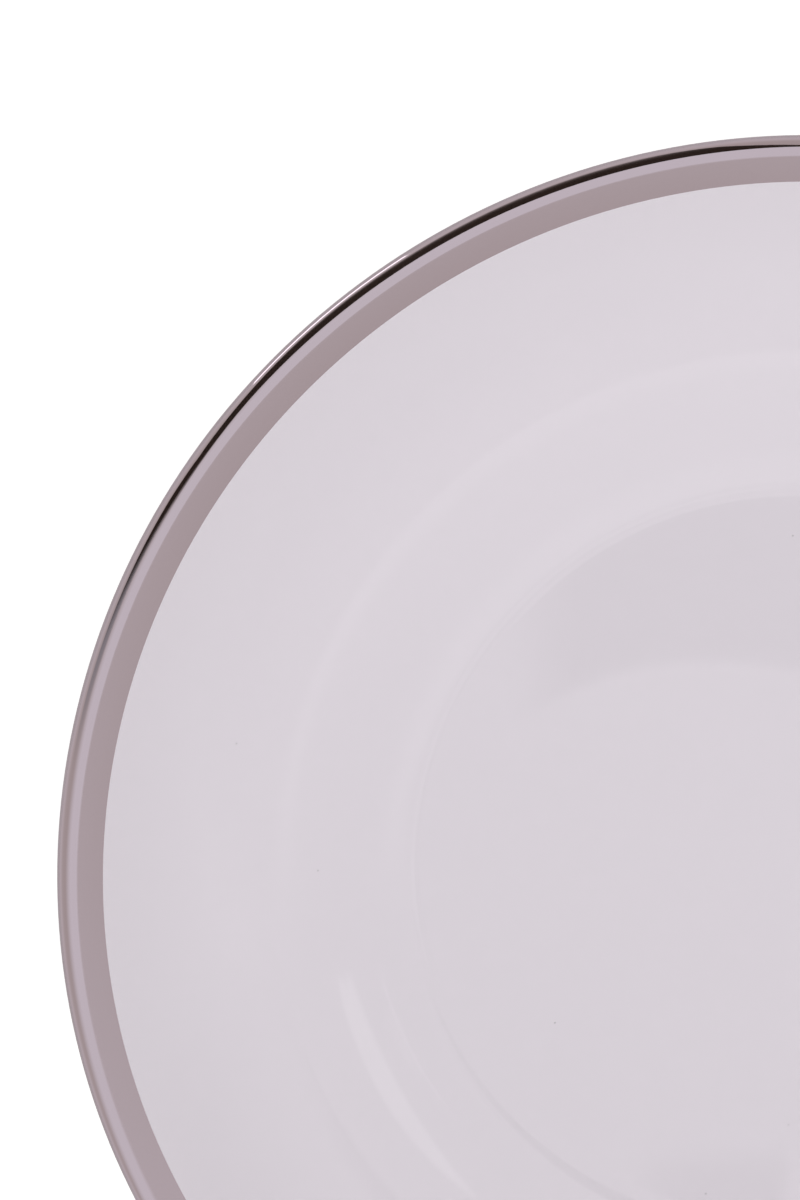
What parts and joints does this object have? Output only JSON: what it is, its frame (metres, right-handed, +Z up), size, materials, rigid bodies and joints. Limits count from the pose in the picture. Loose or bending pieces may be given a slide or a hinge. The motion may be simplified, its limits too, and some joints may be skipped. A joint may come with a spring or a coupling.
{
  "type": "charger plate",
  "caption": "Large round glass charger plate with a shallow well, a wide gently rising rim and a mirror-bright silver band fired over the rounded edge.",
  "frame": {"origin": "centre of the flat base that the plate stands on, in the plane of the table", "axes": "+Z up along the plate's axis; X and Y are any two level directions, because the plate is round"},
  "size_m": [0.33, 0.33, 0.0182],
  "materials": {
    "lilac_glass": "clear pale lilac pressed glass, fire polished",
    "silver_lustre": "mirror-bright fired silver lustre, slightly warm"
  },
  "bodies": {
    "root": {"glass_plate": "lilac_glass", "rim_band": "silver_lustre"}
  },
  "joints": []
}
